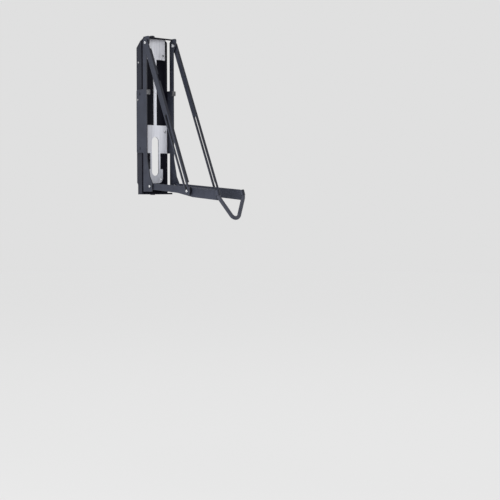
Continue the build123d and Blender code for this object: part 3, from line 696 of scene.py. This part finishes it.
def makeArmWelds(setup):
    tilt = math.radians(setup["tilt"])
    down = (math.sin(tilt), -math.cos(tilt))
    back = (-math.cos(tilt) * setup["behind"], -math.sin(tilt) * setup["behind"])
    step = (setup["span"][1] - setup["span"][0]) / (setup["scales"] - 1)
    scales = []
    for side in (-1, 1):
        for face in setup["armFaces"]:
            for i in range(setup["scales"]):
                along = setup["span"][0] + step * i
                out = setup["sleeveTop"][0] + down[0] * along + back[0]
                height = setup["sleeveTop"][1] + down[1] * along + back[1]
                bpy.ops.object.select_all(action="DESELECT")
                place = (side * face * mm, -out * mm, height * mm)
                bpy.ops.mesh.primitive_uv_sphere_add(segments=16, ring_count=10,
                                                     radius=setup["radius"] * mm, location=place)
                scales.append(bpy.context.object)
    beads = joinAll(scales, "sleeveWeldBeads")
    remesh = beads.modifiers.new("flow", "REMESH")
    remesh.mode = "VOXEL"
    remesh.voxel_size = setup["voxel"] * mm
    pickOnly(beads)
    bpy.ops.object.modifier_apply(modifier="flow")
    soften = beads.modifiers.new("soften", "SMOOTH")
    soften.iterations = 3
    bpy.ops.object.modifier_apply(modifier="soften")
    smooth(beads, 60)
    dress(beads, "black_coat")
    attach(beads, "cradle_arms")


makePivotBolts()
makeLockNuts()
makeSwivelPins(swivelPins)
print("bolts, nuts and pins made")
makeStopPads(stopPads)
makeArmWelds(armWelds)
print("pads and welds made")


# stage and light

stageSetup = {
    "floorDrop": 1.25,     # metres below the origin
    "floorSize": 9.0,
    "floorRough": 0.9,
    "floorSheen": 0.1,
    "pale": 0.745,         # linear, the photograph's plain grey
    "ambient": 0.75,
    "glowShare": 0.8,      # of the floor as seen, the rest is lit and holds the shadow
    "glow": 1.11,          # makes up for the dimmer lit share
}


def seenRays(tree):
    paths = addNode(tree, "ShaderNodeLightPath")
    mirrored = addNode(tree, "ShaderNodeMath", operation="MAXIMUM")
    seen = addNode(tree, "ShaderNodeMath", operation="MAXIMUM")
    tree.links.new(paths.outputs["Is Glossy Ray"], mirrored.inputs[0])
    tree.links.new(paths.outputs["Is Transmission Ray"], mirrored.inputs[1])
    tree.links.new(paths.outputs["Is Camera Ray"], seen.inputs[0])
    tree.links.new(mirrored.outputs["Value"], seen.inputs[1])
    return seen.outputs["Value"]


def makeStage(setup):
    bpy.ops.object.select_all(action="DESELECT")
    bpy.ops.mesh.primitive_circle_add(vertices=96, radius=setup["floorSize"], fill_type="NGON",
                                      location=(0, 0, -setup["floorDrop"]))
    floor = bpy.context.object
    floor.name = "studioFloor"
    settle(floor)
    mat = bpy.data.materials.new("paleFloor")
    mat.use_nodes = True
    tree = mat.node_tree
    shader = tree.nodes["Principled BSDF"]
    pale = (setup["pale"],) * 3 + (1,)
    shader.inputs["Base Color"].default_value = pale
    shader.inputs["Roughness"].default_value = setup["floorRough"]
    shader.inputs["Specular IOR Level"].default_value = setup["floorSheen"]
    glow = addNode(tree, "ShaderNodeEmission", Color=pale, Strength=setup["glow"])
    share = addNode(tree, "ShaderNodeMath", operation="MULTIPLY")
    share.inputs[1].default_value = setup["glowShare"]
    mix = addNode(tree, "ShaderNodeMixShader")
    link = tree.links.new
    link(seenRays(tree), share.inputs[0])
    link(share.outputs["Value"], mix.inputs["Fac"])
    link(shader.outputs["BSDF"], mix.inputs[1])
    link(glow.outputs["Emission"], mix.inputs[2])
    link(mix.outputs["Shader"], tree.nodes["Material Output"].inputs["Surface"])
    floor.data.materials.append(mat)


def makeWorld(setup):
    world = bpy.data.worlds.new("studioWorld")
    scene.world = world
    world.use_nodes = True
    tree = world.node_tree
    tree.nodes.clear()
    pale = (setup["pale"],) * 3 + (1,)
    shown = addNode(tree, "ShaderNodeBackground", Color=pale, Strength=1.0)
    lit = addNode(tree, "ShaderNodeBackground", Color=pale, Strength=setup["ambient"])
    mix = addNode(tree, "ShaderNodeMixShader")
    out = addNode(tree, "ShaderNodeOutputWorld")
    link = tree.links.new
    link(seenRays(tree), mix.inputs["Fac"])
    link(lit.outputs["Background"], mix.inputs[1])
    link(shown.outputs["Background"], mix.inputs[2])
    link(mix.outputs["Shader"], out.inputs["Surface"])


lamps = {
    "key": {"place": (-2.6, -1.5, -0.5), "aim": (0, -0.25, -0.2), "size": 1.6, "power": 58},
    "fill": {"place": (2.4, -2.6, 0.6), "aim": (0, -0.25, 0), "size": 2.0, "power": 28},
    "top": {"place": (0.2, 0.9, 2.4), "aim": (0, -0.2, 0), "size": 1.4, "power": 26},
}


def makeLamps():
    for name, lamp in lamps.items():
        data = bpy.data.lights.new(name, "AREA")
        data.size = lamp["size"]
        data.energy = lamp["power"]
        obj = bpy.data.objects.new(name, data)
        scene.collection.objects.link(obj)
        obj.location = lamp["place"]
        aim = Vector(lamp["aim"]) - Vector(lamp["place"])
        obj.rotation_euler = aim.to_track_quat("-Z", "Y").to_euler()


makeStage(stageSetup)
makeWorld(stageSetup)
makeLamps()
scene.view_settings.view_transform = "Standard"
print("stage and light set")
